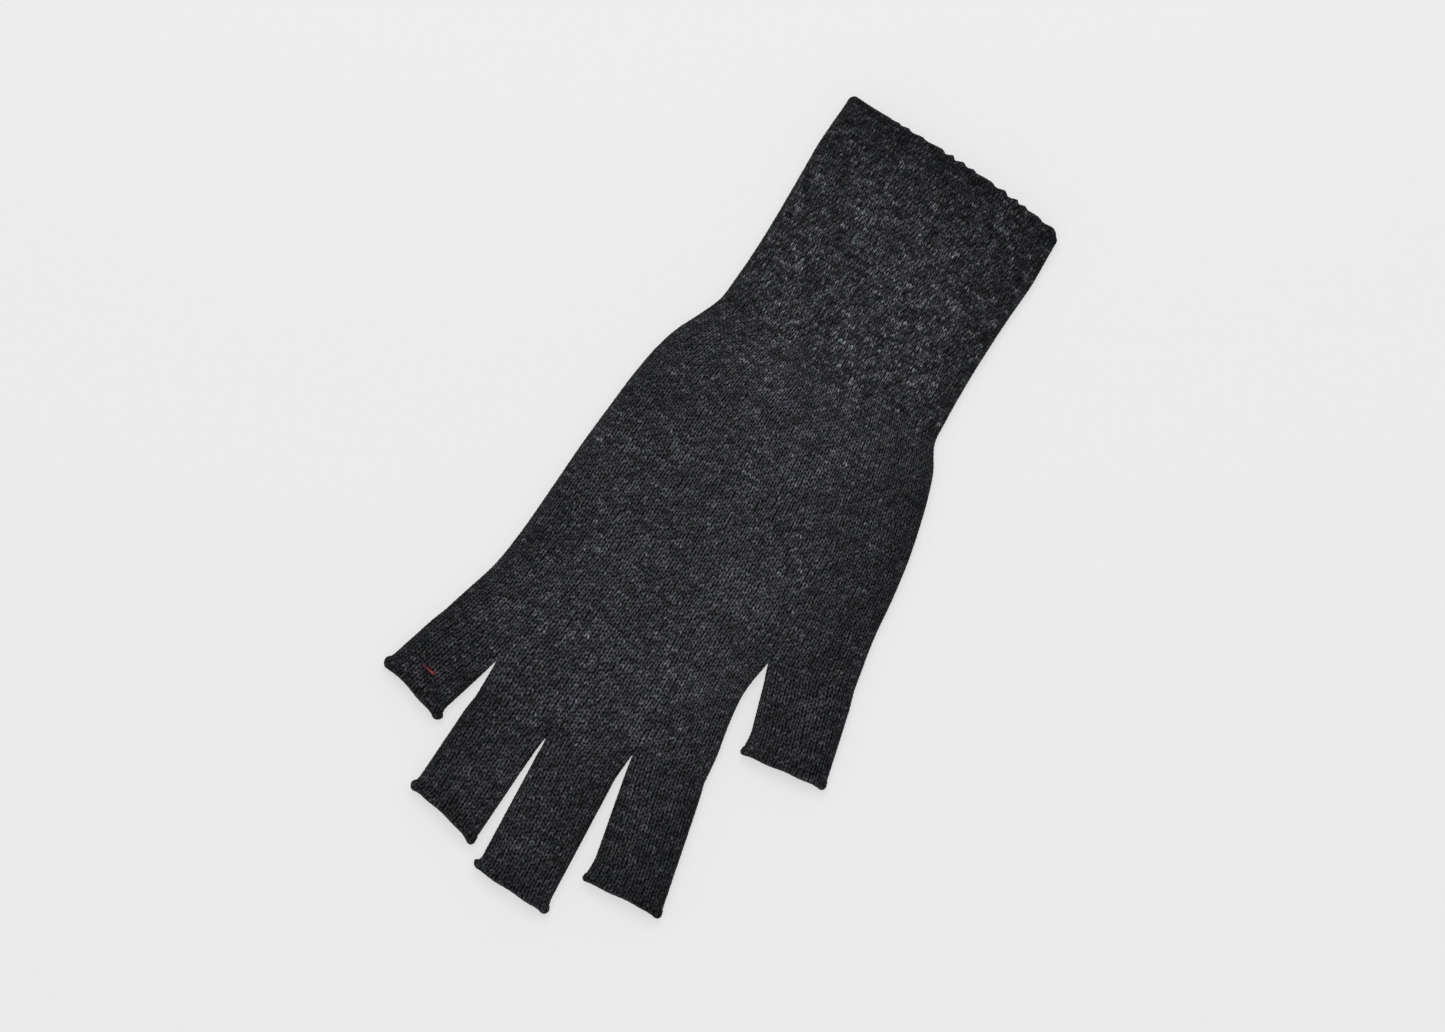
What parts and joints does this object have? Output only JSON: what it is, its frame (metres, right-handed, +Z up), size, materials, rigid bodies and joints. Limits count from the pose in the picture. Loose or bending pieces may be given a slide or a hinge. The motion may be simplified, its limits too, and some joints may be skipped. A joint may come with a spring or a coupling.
{
  "type": "fingerless glove",
  "caption": "Fine-knit fingerless glove laid flat: long plain cuff, flared palm, short open finger and thumb sleeves with rolled hems, and a small coloured marker stitch.",
  "frame": {"origin": "on the surface the glove lies on, under the middle of its bounding box", "axes": "+X across the palm towards the thumb, -Y towards the fingertips, +Z up out of the surface, through the palm side"},
  "size_m": [0.1406, 0.2743, 0.0088],
  "materials": {
    "knit": "heathered charcoal wool jersey, slightly fuzzy",
    "knit_edge": "the same jersey, rolled and bound off",
    "yarn": "two-ply heathered wool yarn",
    "red_thread": "smooth twisted thread"
  },
  "bodies": {
    "palm": {"palm_sleeve": "knit", "wrist_bend": "knit", "thumb_root": "knit", "index_root": "knit", "middle_root": "knit", "ring_root": "knit", "little_root": "knit", "thumb_index_tail": "yarn", "index_middle_tail": "yarn", "middle_ring_tail": "yarn", "ring_little_tail": "yarn"},
    "cuff": {"cuff_sleeve": "knit", "cuff_welt": "knit_edge"},
    "thumb": {"thumb_sleeve": "knit", "thumb_hem": "knit_edge"},
    "index": {"index_sleeve": "knit", "index_hem": "knit_edge"},
    "middle": {"middle_sleeve": "knit", "middle_hem": "knit_edge"},
    "ring": {"ring_sleeve": "knit", "ring_hem": "knit_edge"},
    "little": {"little_sleeve": "knit", "little_hem": "knit_edge", "marker_stitch": "red_thread"}
  },
  "joints": [
    {"name": "wrist_fold", "type": "hinge", "parent": "palm", "child": "cuff", "pos_m": [-0.0041, 0.066, 0.004], "axis": [1, 0, 0], "range_deg": [0, 80], "deforming": ["wrist_bend"]},
    {"name": "thumb_curl", "type": "hinge", "parent": "palm", "child": "thumb", "pos_m": [0.04885, -0.03251, 0.0039], "axis": [-0.9511, -0.309, 0], "range_deg": [0, 75], "deforming": ["thumb_root"]},
    {"name": "index_curl", "type": "hinge", "parent": "palm", "child": "index", "pos_m": [0.02705, -0.083, 0.0039], "axis": [-0.9659, -0.2588, 0], "range_deg": [0, 90], "deforming": ["index_root"]},
    {"name": "middle_curl", "type": "hinge", "parent": "palm", "child": "middle", "pos_m": [0.00101, -0.09597, 0.0039], "axis": [-0.9949, -0.1011, 0], "range_deg": [0, 90], "deforming": ["middle_root"]},
    {"name": "ring_curl", "type": "hinge", "parent": "palm", "child": "ring", "pos_m": [-0.0262, -0.0972, 0.0039], "axis": [-1, 0, 0], "range_deg": [0, 90], "deforming": ["ring_root"]},
    {"name": "little_curl", "type": "hinge", "parent": "palm", "child": "little", "pos_m": [-0.05263, -0.08223, 0.0039], "axis": [-0.9711, 0.2385, 0], "range_deg": [0, 90], "deforming": ["little_root"]}
  ]
}
